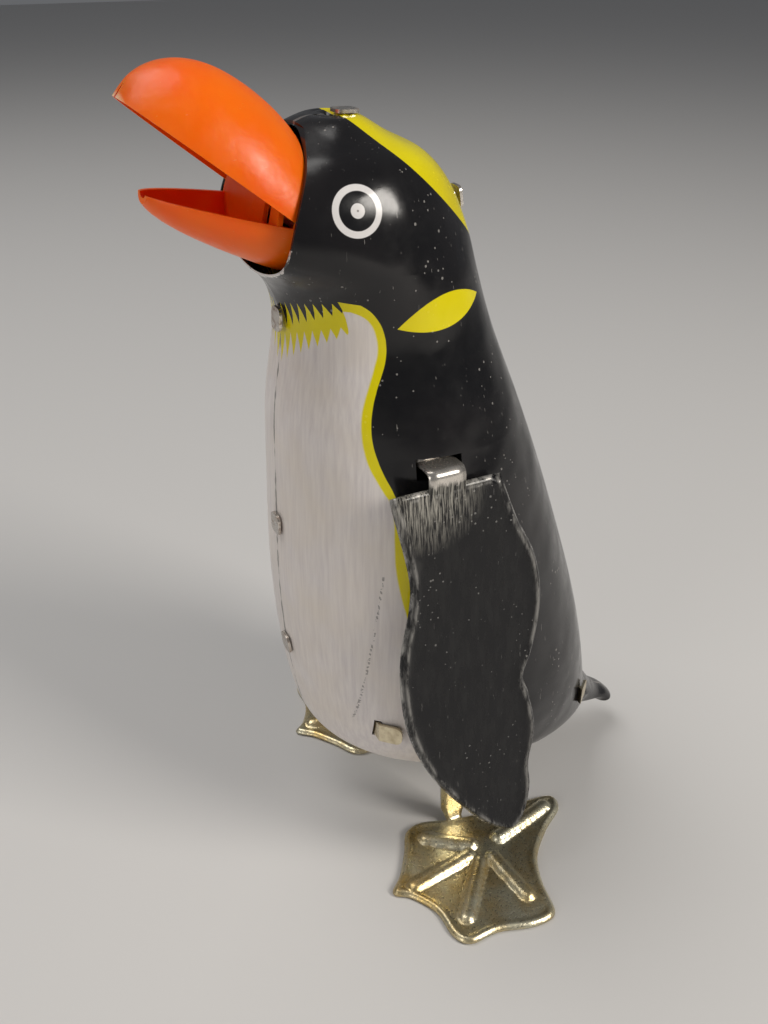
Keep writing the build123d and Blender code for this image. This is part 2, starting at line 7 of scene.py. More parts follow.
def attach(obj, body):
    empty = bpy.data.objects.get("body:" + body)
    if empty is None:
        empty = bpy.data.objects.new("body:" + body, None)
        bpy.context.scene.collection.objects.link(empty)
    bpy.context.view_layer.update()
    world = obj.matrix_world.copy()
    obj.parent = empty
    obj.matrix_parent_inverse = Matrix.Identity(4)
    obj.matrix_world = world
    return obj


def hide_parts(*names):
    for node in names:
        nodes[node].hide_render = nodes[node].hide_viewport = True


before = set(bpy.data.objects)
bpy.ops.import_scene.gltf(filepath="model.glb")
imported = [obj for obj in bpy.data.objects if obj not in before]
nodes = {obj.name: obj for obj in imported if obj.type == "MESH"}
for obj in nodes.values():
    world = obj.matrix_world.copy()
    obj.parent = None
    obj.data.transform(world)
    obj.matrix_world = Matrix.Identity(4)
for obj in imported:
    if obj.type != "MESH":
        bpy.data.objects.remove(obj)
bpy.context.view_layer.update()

# ---------------------------------------------------------------- body halves
# Two deep-drawn tinplate halves with the lacquer printed on before pressing: gloss black all over, a warm
# white belly edged in yellow, a yellow crest and cheek leaf, and a round eye. All artwork is laid out in
# millimetres about the neck, mirrored on the two sides.
neck = 15.2


def new_finish(name):
    """An empty finish: its material, its tree and its Principled shader."""
    material = bpy.data.materials.new(name)
    material.use_nodes = True
    return material, material.node_tree, material.node_tree.nodes["Principled BSDF"]


def calc(tree, operation, *values):
    """One math step; each value is a number or the outlet of an earlier step."""
    step = tree.nodes.new("ShaderNodeMath")
    step.operation = operation
    for inlet, value in zip(step.inputs, values):
        if isinstance(value, (int, float)):
            inlet.default_value = value
        else:
            tree.links.new(value, inlet)
    return step.outputs[0]


def inside(tree, distance, softness=0.12):
    """1 where a distance in millimetres is positive, 0 elsewhere, with a thin soft edge."""
    step = tree.nodes.new("ShaderNodeMapRange")
    tree.links.new(distance, step.inputs["Value"])
    step.inputs["From Min"].default_value = -softness / 2
    step.inputs["From Max"].default_value = softness / 2
    return step.outputs["Result"]


def fit(tree, value, low, high, to_low, to_high):
    """A value carried from one range to another and held at its ends."""
    step = tree.nodes.new("ShaderNodeMapRange")
    tree.links.new(value, step.inputs["Value"])
    for name, number in (("From Min", low), ("From Max", high), ("To Min", to_low), ("To Max", to_high)):
        step.inputs[name].default_value = number
    return step.outputs["Result"]


def colour_mix(tree, amount, below, above):
    """One colour laid over another; each is an rgb triple or an outlet."""
    mix = tree.nodes.new("ShaderNodeMix")
    mix.data_type = "RGBA"
    for index, value in ((0, amount), (6, below), (7, above)):
        if isinstance(value, tuple):
            mix.inputs[index].default_value = (*value, 1)
        else:
            tree.links.new(value, mix.inputs[index])
    return mix.outputs[2]


def place(tree, scale=(1000, 1000, 1000), shift=(0, neck, 0)):
    """Position in millimetres about the neck, from the piece's own coordinates."""
    where = tree.nodes.new("ShaderNodeTexCoord")
    grow = tree.nodes.new("ShaderNodeVectorMath")
    grow.operation = "MULTIPLY_ADD"
    grow.inputs[1].default_value = scale
    grow.inputs[2].default_value = shift
    tree.links.new(where.outputs["Object"], grow.inputs[0])
    return grow.outputs[0]


def axes(tree, position):
    """The three measures of a position: across, back and up."""
    split = tree.nodes.new("ShaderNodeSeparateXYZ")
    tree.links.new(position, split.inputs[0])
    return split.outputs


def grain(tree, position, scale, detail=3.0, rough=0.5, stretch=None):
    """Noise between 0 and 1, stretched along an axis where the marks run one way."""
    if stretch:
        pull = tree.nodes.new("ShaderNodeVectorMath")
        pull.operation = "MULTIPLY"
        pull.inputs[1].default_value = stretch
        tree.links.new(position, pull.inputs[0])
        position = pull.outputs[0]
    noise = tree.nodes.new("ShaderNodeTexNoise")
    noise.inputs["Scale"].default_value = scale
    noise.inputs["Detail"].default_value = detail
    noise.inputs["Roughness"].default_value = rough
    tree.links.new(position, noise.inputs["Vector"])
    return noise.outputs[0]


def specks(tree, position, scale, size):
    """Sparse round specks: 1 inside a speck, 0 between."""
    cells = tree.nodes.new("ShaderNodeTexVoronoi")
    cells.inputs["Scale"].default_value = scale
    tree.links.new(position, cells.inputs["Vector"])
    patchy = grain(tree, position, 0.08, 2.0)
    reach = calc(tree, "MULTIPLY", fit(tree, patchy, 0.45, 0.62, 0.0, 1.0), size)
    return calc(tree, "GREATER_THAN", calc(tree, "SUBTRACT", reach, cells.outputs["Distance"]), 0.0)


def dents(tree, shader, height, strength, distance):
    """Bump from a height, into the shader's normal."""
    bump = tree.nodes.new("ShaderNodeBump")
    bump.inputs["Strength"].default_value = strength
    bump.inputs["Distance"].default_value = distance
    tree.links.new(height, bump.inputs["Height"])
    tree.links.new(bump.outputs[0], shader.inputs["Normal"])


def finish_over(material, names):
    """The given bodies in one finish only."""
    for name in names:
        nodes[name].data.materials.clear()
        nodes[name].data.materials.append(material)


def edge_curve(tree, height, points):
    """How far back an edge of the artwork runs (y) at each height (z)."""
    curve = tree.nodes.new("ShaderNodeFloatCurve")
    line = curve.mapping.curves[0]
    low, high, front, rear = 20, 150, -40, 20
    scaled = sorted(((z - low) / (high - low), (y - front) / (rear - front)) for z, y in points)
    line.points[0].location = scaled[0]
    line.points[1].location = scaled[-1]
    for spot in scaled[1:-1]:
        line.points.new(*spot)
    curve.mapping.update()
    tree.links.new(fit(tree, height, low, high, 0, 1), curve.inputs["Value"])
    return fit(tree, curve.outputs[0], 0, 1, front, rear)


lacquer, tree, shader = new_finish("lacquered_tin")
position = place(tree)
sideways, back, height = axes(tree, position)
across = calc(tree, "ABSOLUTE", sideways)

outer_edge = edge_curve(tree, height, [
    (20, 19), (30, 11), (45, 3.5), (62, -0.8), (79, -3.2), (85, -4.4), (92, -5.3), (98, -5.6),
    (104, -6.2), (109, -7.6), (112.3, -8.9), (115.3, -9.8), (118.8, -10.4), (121.7, -10.4),
    (125.1, -9.9), (128.5, -9.0), (131.5, -8.0), (133.9, -7.3), (136.8, -7.0), (139.7, -7.4),
    (142.5, -8.7), (144.6, -10.8), (145.4, -12.8), (145.9, -40), (150, -40)])
inner_edge = edge_curve(tree, height, [
    (20, 17), (30, 9), (45, 1.5), (62, -2.8), (79.2, -5.4), (85.5, -6.7), (92.3, -7.6), (98, -7.7),
    (103.6, -7.7), (106.5, -8.1), (108.6, -9.1), (111.1, -10.2), (113.7, -11.2), (116.7, -11.8),
    (120.1, -12.0), (123.6, -11.7), (126.5, -11.0), (129.4, -10.1), (132.8, -9.1), (136.2, -8.4),
    (139.2, -8.7), (141.4, -9.6), (142.8, -11.1), (143.4, -12.6), (143.8, -40), (150, -40)])
# teeth of the chest: a triangle wave by degrees round the front of the neck, long at the seam and short
# at the sides, points up into the black and down into the white
neck_radius = 24.0
round_neck = calc(tree, "ARCSINE", calc(tree, "MINIMUM", calc(tree, "DIVIDE", across, neck_radius), 1.0))
turn = calc(tree, "MULTIPLY", round_neck, 57.3)
tooth_pitch = 5.3
tooth = calc(tree, "MULTIPLY", calc(tree, "PINGPONG", calc(tree, "DIVIDE", turn, tooth_pitch), 0.5), 2.0)
chest = fit(tree, across, 0.0, 17.0, 141.3, 145.0)
teeth_up = calc(tree, "SUBTRACT", chest, calc(tree, "MULTIPLY", tooth, fit(tree, turn, 0, 45, 5.8, 2.0)))
gaps = calc(tree, "SUBTRACT", chest, fit(tree, turn, 0, 45, 6.6, 4.6))
teeth_down = calc(tree, "SUBTRACT", gaps, calc(tree, "MULTIPLY", tooth, fit(tree, turn, 0, 45, 6.0, 1.6)))
last_tooth = 17.2
past_teeth = calc(tree, "MULTIPLY", calc(tree, "SUBTRACT", across, last_tooth), 40.0)
below_up = calc(tree, "MAXIMUM", past_teeth, calc(tree, "SUBTRACT", teeth_up, height))
yellow_border = inside(tree, calc(tree, "MINIMUM", calc(tree, "SUBTRACT", outer_edge, back), below_up))
below_down = calc(tree, "MAXIMUM", past_teeth, calc(tree, "SUBTRACT", teeth_down, height))
belly = inside(tree, calc(tree, "MINIMUM", calc(tree, "SUBTRACT", inner_edge, back), below_down), 0.3)
# crest: a band over the crown and down the back of the head, its lower edge sloping to a point behind
crest_slope, crest_height = 0.92, 167.1
above_neck = calc(tree, "MULTIPLY_ADD", back, crest_slope, height)
crest = inside(tree, calc(tree, "SUBTRACT", above_neck, crest_height))
# leaf on the side of the neck: two bows between its tips
leaf_middle, leaf_cosine, leaf_sine = (4.6, 141.6), 0.991, 0.134
leaf_back = calc(tree, "SUBTRACT", back, leaf_middle[0])
leaf_up = calc(tree, "SUBTRACT", height, leaf_middle[1])
along = calc(tree, "MULTIPLY_ADD", leaf_back, leaf_cosine, calc(tree, "MULTIPLY", leaf_up, leaf_sine))
rise = calc(tree, "MULTIPLY_ADD", leaf_up, leaf_cosine, calc(tree, "MULTIPLY", leaf_back, -leaf_sine))
leaf_half_length, leaf_above, leaf_below = 9.8, 3.9, 2.3
from_middle = calc(tree, "DIVIDE", calc(tree, "ABSOLUTE", along), leaf_half_length)
bow = calc(tree, "SUBTRACT", 1.0, calc(tree, "POWER", from_middle, 2.0))
under_top = calc(tree, "MULTIPLY_ADD", bow, leaf_above, calc(tree, "MULTIPLY", rise, -1.0))
leaf = inside(tree, calc(tree, "MINIMUM", under_top, calc(tree, "MULTIPLY_ADD", bow, leaf_below, rise)))
# eye: rings round a point on the cheek, each with its radius
eye_centre = (21.1, -12.3, 161.9)
white_radius, black_radius, pupil_radius, dot_radius = 4.45, 3.3, 1.25, 0.16
folded = tree.nodes.new("ShaderNodeCombineXYZ")
for inlet, value in zip(folded.inputs, (across, back, height)):
    tree.links.new(value, inlet)
from_eye = tree.nodes.new("ShaderNodeVectorMath")
from_eye.operation = "DISTANCE"
from_eye.inputs[1].default_value = eye_centre
tree.links.new(folded.outputs[0], from_eye.inputs[0])
ring = from_eye.outputs["Value"]
eye_white = inside(tree, calc(tree, "SUBTRACT", white_radius, ring))
eye_black = inside(tree, calc(tree, "SUBTRACT", black_radius, ring))
pupil = inside(tree, calc(tree, "SUBTRACT", pupil_radius, ring))
pupil_dot = inside(tree, calc(tree, "SUBTRACT", dot_radius, ring), 0.2)
# worn marks: streaks and a dotted scratch on the white, specks and hairlines on the black
streaks = grain(tree, position, 1.1, 4.0, 0.6, (1.0, 1.0, 0.06))
cloud = grain(tree, position, 0.07, 3.0)
white = colour_mix(tree, fit(tree, streaks, 0.35, 0.7, 0.0, 1.0), (0.74, 0.69, 0.66), (0.62, 0.57, 0.56))
white = colour_mix(tree, fit(tree, cloud, 0.4, 0.7, 0.0, 0.5), white, (0.7, 0.62, 0.52))
scratch_low, scratch_high = 49.0, 90.0
scratch_line = fit(tree, height, scratch_low, scratch_high, -14.0, -9.7)
track = calc(tree, "ABSOLUTE", calc(tree, "SUBTRACT", back, scratch_line))
dot_size = fit(tree, grain(tree, position, 1.6, 1.0), 0.45, 0.6, -0.1, 0.22)
scratch_length = calc(tree, "MULTIPLY", calc(tree, "GREATER_THAN", height, scratch_low),
                      calc(tree, "LESS_THAN", height, scratch_high))
dotted = calc(tree, "MULTIPLY", inside(tree, calc(tree, "SUBTRACT", dot_size, track)), scratch_length)
white = colour_mix(tree, calc(tree, "MULTIPLY", dotted, 0.7), white, (0.16, 0.15, 0.14))
yellow = colour_mix(tree, fit(tree, cloud, 0.35, 0.7, 0, 1), (0.74, 0.64, 0.0), (0.66, 0.55, 0.0))
black = colour_mix(tree, fit(tree, cloud, 0.35, 0.7, 0, 1), (0.006, 0.006, 0.007), (0.011, 0.010, 0.011))
hairs = calc(tree, "GREATER_THAN", grain(tree, position, 2.2, 2.0, 0.5, (1.0, 1.3, 0.05)), 0.735)
dust = specks(tree, position, 0.6, 0.16)
flecks = calc(tree, "MULTIPLY", calc(tree, "MAXIMUM", hairs, dust), 0.4)
black = colour_mix(tree, flecks, black, (0.45, 0.43, 0.4))
paint = colour_mix(tree, yellow_border, black, yellow)
paint = colour_mix(tree, belly, paint, white)
paint = colour_mix(tree, crest, paint, yellow)
paint = colour_mix(tree, leaf, paint, yellow)
paint = colour_mix(tree, eye_white, paint, (0.72, 0.7, 0.69))
paint = colour_mix(tree, eye_black, paint, (0.008, 0.008, 0.009))
paint = colour_mix(tree, pupil, paint, (0.7, 0.68, 0.67))
paint = colour_mix(tree, pupil_dot, paint, (0.1, 0.08, 0.07))
# bare tin: the trimmed lip of the beak opening, ragged low down, and the worn seam
lip_centre, lip_radius = (4.0, 151.87), 28.88
lip_back = calc(tree, "POWER", calc(tree, "SUBTRACT", back, lip_centre[0]), 2.0)
lip_up = calc(tree, "POWER", calc(tree, "SUBTRACT", height, lip_centre[1]), 2.0)
lip = calc(tree, "SQRT", calc(tree, "ADD", lip_back, lip_up))
ragged = grain(tree, position, 0.9, 3.0)
low_lip = fit(tree, height, 156, 160, 1.0, 0.16)
lip_width = calc(tree, "MULTIPLY", fit(tree, ragged, 0.3, 0.7, 0.15, 1.1), low_lip)
from_lip = calc(tree, "ABSOLUTE", calc(tree, "SUBTRACT", lip, lip_radius))
by_opening = calc(tree, "MULTIPLY", calc(tree, "GREATER_THAN", height, 146.5),
                  calc(tree, "LESS_THAN", back, -10.0))
lip_bare = calc(tree, "MULTIPLY", inside(tree, calc(tree, "SUBTRACT", lip_width, from_lip)), by_opening)
seam_width = fit(tree, grain(tree, position, 0.25, 3.0), 0.4, 0.65, 0.03, 0.5)
seam_bare = inside(tree, calc(tree, "SUBTRACT", seam_width, across))
bare = calc(tree, "MAXIMUM", lip_bare, seam_bare)
paint = colour_mix(tree, lip_bare, paint, (0.78, 0.74, 0.7))
paint = colour_mix(tree, seam_bare, paint, (0.32, 0.3, 0.28))
tree.links.new(paint, shader.inputs["Base Color"])
tree.links.new(calc(tree, "MULTIPLY", bare, 0.7), shader.inputs["Metallic"])
sheen = calc(tree, "ADD", fit(tree, grain(tree, position, 0.25, 4.0, 0.6), 0.3, 0.75, 0.13, 0.27),
             calc(tree, "MULTIPLY", belly, 0.16))
tree.links.new(calc(tree, "ADD", sheen, calc(tree, "MULTIPLY", dust, 0.3)), shader.inputs["Roughness"])
shader.inputs["Specular IOR Level"].default_value = 0.4
waves = calc(tree, "ADD", grain(tree, position, 0.045, 2.0), calc(tree, "MULTIPLY", streaks, 0.006))
dents(tree, shader, waves, 0.35, 0.004)

finish_over(lacquer, ("left_body_shell", "right_body_shell"))

# ---------------------------------------------------------------- plain metals
# Tin, steel and brass of the clockwork and the small fixings: cut, stamped and turned, a little tarnished.


def metal(name, colour, stain, roughness, lines=(1.0, 1.0, 1.0), rust=0.0):
    """Bare metal with rolling lines, tarnish and, where wanted, rust in patches."""
    material, tree, shader = new_finish(name)
    position = place(tree)
    tarnish = grain(tree, position, 0.35, 4.0, 0.6)
    rolled = grain(tree, position, 3.0, 2.0, 0.5, lines)
    face = colour_mix(tree, fit(tree, tarnish, 0.4, 0.72, 0.0, 0.8), colour, stain)
    spots = fit(tree, grain(tree, position, 0.7, 4.0, 0.7), 0.62 - 0.2 * rust, 0.75 - 0.2 * rust, 0.0, rust)
    face = colour_mix(tree, spots, face, (0.22, 0.09, 0.035))
    tree.links.new(face, shader.inputs["Base Color"])
    tree.links.new(fit(tree, spots, 0, 1, 1.0, 0.2), shader.inputs["Metallic"])
    tree.links.new(calc(tree, "ADD", fit(tree, tarnish, 0.3, 0.7, roughness, roughness + 0.15),
                        calc(tree, "MULTIPLY", spots, 0.4)), shader.inputs["Roughness"])
    dents(tree, shader, calc(tree, "ADD", rolled, tarnish), 0.25, 0.0002)
    return material


steel = metal("frame_steel", (0.56, 0.56, 0.55), (0.36, 0.35, 0.33), 0.3, (0.1, 1.0, 1.0))
turned = metal("turned_steel", (0.6, 0.6, 0.6), (0.34, 0.33, 0.32), 0.24, (0.1, 1.0, 1.0), 0.2)
blue_steel = metal("spring_steel", (0.2, 0.22, 0.28), (0.16, 0.13, 0.12), 0.3, (1.0, 1.0, 0.1))
brass = metal("gear_brass", (0.76, 0.56, 0.24), (0.5, 0.34, 0.14), 0.28, (1.0, 1.0, 1.0))
key_metal = metal("key_steel", (0.64, 0.62, 0.58), (0.4, 0.37, 0.33), 0.25, (1.0, 0.2, 1.0), 0.35)
strap_metal = metal("strap_metal", (0.72, 0.64, 0.46), (0.4, 0.32, 0.2), 0.25, (1.0, 1.0, 0.1), 0.2)
bare_tin = metal("bare_tin", (0.66, 0.62, 0.57), (0.4, 0.34, 0.28), 0.22, (1.0, 1.0, 0.2), 0.45)
for material, names in (
        (steel, ("left_frame_plate", "right_frame_plate", "rod_guide", "cam_follower", "rocker_arm")),
        (turned, ("frame_pillars", "second_pinion", "cam_pinion", "second_shaft", "cam_shaft", "drive_cam",
                  "spring_arbor", "ratchet_wheel", "click", "leg_shaft", "beak_pivot_pin")),
        (blue_steel, ("mainspring", "click_spring", "leg_return_spring", "beak_rod")),
        (brass, ("great_wheel", "second_wheel", "click_rivet")),
        (key_metal, ("winding_key",)),
        (strap_metal, ("front_mount_strap", "rear_mount_strap")),
        (bare_tin, ("seam_tabs",))):
    finish_over(material, names)

# ---------------------------------------------------------------- beak
# Two moulded scoops of orange plastic that carry a little light inside; a pale painted highlight is laid on
# the very tip, and fine scuffs run from front to back.
plastic, tree, shader = new_finish("orange_plastic")
position = place(tree)
_, back, _ = axes(tree, position)
highlight_from = -45.3
flow = grain(tree, position, 0.06, 2.0)
orange = colour_mix(tree, fit(tree, flow, 0.3, 0.7, 0, 1), (1.0, 0.17, 0.0), (0.95, 0.11, 0.0))
# painted highlight: the very tip is coloured pale cream where light would catch it
tip_highlight = inside(tree, calc(tree, "SUBTRACT", highlight_from, back), 0.8)
orange = colour_mix(tree, calc(tree, "MULTIPLY", tip_highlight, 0.75), orange, (0.95, 0.8, 0.55))
scuffs = calc(tree, "GREATER_THAN", grain(tree, position, 2.0, 2.0, 0.5, (1.0, 0.1, 1.0)), 0.74)
orange = colour_mix(tree, calc(tree, "MULTIPLY", scuffs, 0.25), orange, (0.98, 0.5, 0.25))
tree.links.new(orange, shader.inputs["Base Color"])
shader.inputs["Subsurface Weight"].default_value = 0.35
shader.inputs["Subsurface Radius"].default_value = (0.003, 0.0012, 0.0002)
shader.inputs["Subsurface Scale"].default_value = 1.0
tree.links.new(fit(tree, grain(tree, position, 0.4, 4.0), 0.3, 0.7, 0.3, 0.44), shader.inputs["Roughness"])
shader.inputs["Specular IOR Level"].default_value = 0.35
dents(tree, shader, grain(tree, position, 0.12, 3.0), 0.2, 0.002)
finish_over(plastic, ("upper_beak", "lower_beak"))

# ---------------------------------------------------------------- flippers
# Flat sheet wings, blanked from lacquered tin with the edge rolled a little towards the body, hung by a
# bent tab; the tab and stretches of the rim are worn to bare metal.
flipper_paint, tree, shader = new_finish("flipper_lacquer")
position = place(tree)
_, back, height = axes(tree, position)
rubbed = grain(tree, position, 0.5, 4.0, 0.65, (1.0, 1.0, 0.25))
upright = grain(tree, position, 2.4, 3.0, 0.6, (1.0, 1.4, 0.04))
face = colour_mix(tree, fit(tree, rubbed, 0.45, 0.8, 0, 1), (0.005, 0.005, 0.006), (0.014, 0.014, 0.014))
marks = calc(tree, "MAXIMUM", calc(tree, "GREATER_THAN", upright, 0.72), specks(tree, position, 0.7, 0.17))
face = colour_mix(tree, calc(tree, "MULTIPLY", marks, 0.35), face, (0.4, 0.39, 0.37))
# a rubbed patch fans out below the hinge tab
patch_top = (-2.5, 110.0)
tab_back = calc(tree, "POWER", calc(tree, "SUBTRACT", back, patch_top[0]), 2.0)
tab_up = calc(tree, "POWER", calc(tree, "SUBTRACT", height, patch_top[1]), 2.0)
from_tab = calc(tree, "SQRT", calc(tree, "ADD", tab_back, tab_up))
patch = calc(tree, "MULTIPLY", fit(tree, from_tab, 4.0, 13.0, 0.75, 0.0),
             fit(tree, upright, 0.42, 0.62, 0.0, 1.0))
face = colour_mix(tree, patch, face, (0.42, 0.4, 0.35))
tab_foot = 111.2
tab_wear = inside(tree, calc(tree, "ADD", calc(tree, "SUBTRACT", height, tab_foot),
                             calc(tree, "MULTIPLY", calc(tree, "SUBTRACT", rubbed, 0.5), 6.0)), 1.0)
face = colour_mix(tree, tab_wear, face, (0.62, 0.58, 0.53))
edge = tree.nodes.new("ShaderNodeAttribute")
edge.attribute_name = "edge"
worn_edge = calc(tree, "MULTIPLY", edge.outputs["Fac"], fit(tree, rubbed, 0.42, 0.6, 0.0, 1.0))
face = colour_mix(tree, worn_edge, face, (0.66, 0.64, 0.6))
tree.links.new(face, shader.inputs["Base Color"])
bare = calc(tree, "MAXIMUM", tab_wear, worn_edge)
tree.links.new(calc(tree, "MULTIPLY", bare, 0.85), shader.inputs["Metallic"])
tree.links.new(fit(tree, rubbed, 0.3, 0.7, 0.2, 0.34), shader.inputs["Roughness"])
shader.inputs["Specular IOR Level"].default_value = 0.3
waves = calc(tree, "MULTIPLY_ADD", upright, 0.008, grain(tree, position, 0.05, 2.0))
dents(tree, shader, waves, 0.3, 0.003)

flipper_outline = [
    (13.3, 110.6), (17.1, 100.3), (21.9, 90.1), (23.4, 79.6), (21.8, 68.8), (19.4, 61.4), (21.0, 56.0),
    (22.8, 46.4), (21.4, 37.4), (21.9, 29.5), (20.2, 22.2), (16.6, 19.3), (10.4, 23.4), (4.6, 30.4),
    (-1.4, 39.0), (-5.8, 47.5), (-8.9, 56.8), (-10.1, 67.4), (-9.5, 77.0), (-7.4, 86.0), (-7.3, 94.0),
    (-10.8, 110.6),
]


def metres(x, y, z):
    """A point given in millimetres about the neck, in the frame's metres."""
    return x / 1000, (y - neck) / 1000, z / 1000


def smooth_line(points, steps, closed=False):
    """A smooth line through given points."""
    last = len(points) - 1
    line = []
    for index in range(len(points) if closed else last):
        if closed:
            near = [Vector(points[(index + k) % len(points)]) for k in (-1, 0, 1, 2)]
        else:
            near = [Vector(points[min(max(index + k, 0), last)]) for k in (-1, 0, 1, 2)]
        a, b, c, d = near
        for step in range(steps):
            t = step / steps
            curl = (2 * a - 5 * b + 4 * c - d) * t * t + (3 * b - a - 3 * c + d) * t ** 3
            line.append(0.5 * (2 * b + (c - a) * t + curl))
    if not closed:
        line.append(Vector(points[-1]))
    return line


def shrunk(loop, distance):
    """The closed outline moved inwards, to whichever side is inside."""
    area = sum(a.cross(b) for a, b in zip(loop, loop[1:] + loop[:1]))
    inward = 1 if area > 0 else -1
    moved = []
    for index, spot in enumerate(loop):
        along = (loop[(index + 1) % len(loop)] - loop[index - 1]).normalized()
        moved.append(spot + Vector((-along.y, along.x)) * inward * distance)
    return moved


def edge_distance(spot, loop):
    """Distance from a point to the nearest stretch of an outline."""
    nearest = 1e9
    for a, b in zip(loop, loop[1:] + loop[:1]):
        run = b - a
        share = max(0.0, min(1.0, (spot - a).dot(run) / max(run.length_squared, 1e-12)))
        nearest = min(nearest, (spot - a - run * share).length)
    return nearest


def is_within(spot, loop):
    """Whether a point lies inside a closed outline."""
    crossings = sum((a.y > spot.y) != (b.y > spot.y)
                    and spot.x < (b.x - a.x) * (spot.y - a.y) / (b.y - a.y) + a.x
                    for a, b in zip(loop, loop[1:] + loop[:1]))
    return crossings % 2 == 1


def sheet_pattern(loop, pitch, borders):
    """Points and triangles of a flat sheet: its rim, lines inside the rim, and an even field of points."""
    field = []
    for border in borders:
        field.extend(spot for spot in shrunk(loop, border)
                     if is_within(spot, loop) and edge_distance(spot, loop) > border * 0.9)
    low = Vector((min(p.x for p in loop), min(p.y for p in loop)))
    high = Vector((max(p.x for p in loop), max(p.y for p in loop)))
    row_step = 0.866
    for row in range(int((high.y - low.y) / (pitch * row_step)) + 1):
        for column in range(int((high.x - low.x) / pitch) + 2):
            spot = low + Vector(((column + 0.5 * (row % 2)) * pitch, row * pitch * row_step))
            if is_within(spot, loop) and edge_distance(spot, loop) > borders[-1] + 0.4 * pitch:
                field.append(spot)
    rim = [(k, (k + 1) % len(loop)) for k in range(len(loop))]
    spots, _, triangles, *_ = geometry.delaunay_2d_cdt(loop + field, rim, [], 1, 1e-5)
    return [Vector(spot) for spot in spots], triangles


def add_strip(build, rungs):
    """Faces between one row of corners and the next."""
    for low, high in zip(rungs, rungs[1:]):
        for k in range(len(low) - 1):
            build.faces.new((low[k], low[k + 1], high[k + 1], high[k]))


def finished_piece(name, build, material, wall):
    """A bmesh skin made a sheet-metal piece: faces turned outwards, smooth, given its thickness."""
    bmesh.ops.recalc_face_normals(build, faces=build.faces)
    mesh = bpy.data.meshes.new(name)
    build.to_mesh(mesh)
    build.free()
    mesh.materials.append(material)
    for polygon in mesh.polygons:
        polygon.use_smooth = True
    piece = bpy.data.objects.new(name, mesh)
    bpy.context.scene.collection.objects.link(piece)
    sheet = piece.modifiers.new("sheet", "SOLIDIFY")
    sheet.thickness = wall
    sheet.offset = 0.0
    return piece


top_start, top_step, top_height = -10.8, 2.41, 110.6
top_edge = [Vector((top_start + k * top_step, top_height)) for k in range(10)]
flipper_loop = smooth_line(flipper_outline, 5)[:-1] + top_edge
flipper_spots, flipper_triangles = sheet_pattern(flipper_loop, 2.2, (0.25, 0.6, 1.0, 1.5, 2.1))
# the sheet stands this far out at its hinge and leans outwards below it
hinge_out, hinge_height = 30.95, 110.8
flipper_lean = math.tan(math.radians(5.7))
tab_middle, tab_half = 1.2, 3.95
flipper_wall, tab_wall, foot_wall = 0.0005, 0.0006, 0.0006
for side, body in ((1, "left_wing"), (-1, "right_wing")):
    build = bmesh.new()
    worn = build.verts.layers.float.new("edge")
    corners = []
    for spot in flipper_spots:
        from_edge = edge_distance(spot, flipper_loop)
        # the rim turns down towards the body, with a raised bead just inside it except along the top
        roll = 0.75 * max(0.0, 1 - from_edge / 0.7) ** 2
        bead = 0.4 * math.exp(-((from_edge - 1.0) / 0.5) ** 2) * min(1.0, max(0.0, (109.0 - spot.y) / 3.0))
        out = hinge_out + (hinge_height - spot.y) * flipper_lean + bead - roll
        corner = build.verts.new(metres(side * out, spot.x, spot.y))
        corner[worn] = (0.9 * math.exp(-(from_edge / 0.3) ** 2)
                        + 0.35 * math.exp(-((from_edge - 1.0) / 0.3) ** 2))
        corners.append(corner)
    for triangle in flipper_triangles:
        build.faces.new([corners[k] for k in triangle])
    wing = finished_piece(body + "_sheet", build, flipper_paint, flipper_wall)
    # the hinge tab: up from the top edge, over, and in through the slot
    build = bmesh.new()
    tab_line = smooth_line([(hinge_out, 108.4), (hinge_out, 112.6), (30.3, 113.8), (29.2, 114.1),
                            (26.0, 114.1), (25.5, 114.7), (25.0, 116.8)], 4)
    add_strip(build, [[build.verts.new(metres(side * spot.x, tab_middle + share * tab_half, spot.y))
                       for share in (-1, -0.5, 0, 0.5, 1)] for spot in tab_line])
    tab = finished_piece(body + "_tab", build, flipper_paint, tab_wall)
    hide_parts("left_flipper" if side > 0 else "right_flipper")
    for piece in (wing, tab):
        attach(piece, body)

# ---------------------------------------------------------------- webbed feet
# Each foot is stamped from thin gold-lacquered steel in one piece with its leg strip: five toes with
# webs between them, a rib pressed up along each toe, and the rim turned down all round.
foot_metal, tree, shader = new_finish("foot_lacquer")
position = place(tree)
tarnish = grain(tree, position, 0.09, 4.0, 0.6)
fine = grain(tree, position, 1.6, 3.0, 0.6)
gold = colour_mix(tree, fit(tree, tarnish, 0.38, 0.66, 0, 1), (0.74, 0.70, 0.52), (0.66, 0.47, 0.17))
gold = colour_mix(tree, fit(tree, fine, 0.45, 0.75, 0, 0.6), gold, (0.36, 0.33, 0.25))
rust = fit(tree, grain(tree, position, 0.35, 5.0, 0.7), 0.6, 0.72, 0.0, 0.7)
gold = colour_mix(tree, rust, gold, (0.24, 0.13, 0.05))
tree.links.new(gold, shader.inputs["Base Color"])
tree.links.new(fit(tree, rust, 0, 1, 0.92, 0.4), shader.inputs["Metallic"])
tree.links.new(fit(tree, fine, 0.3, 0.7, 0.22, 0.42), shader.inputs["Roughness"])
dents(tree, shader, fine, 0.25, 0.0004)

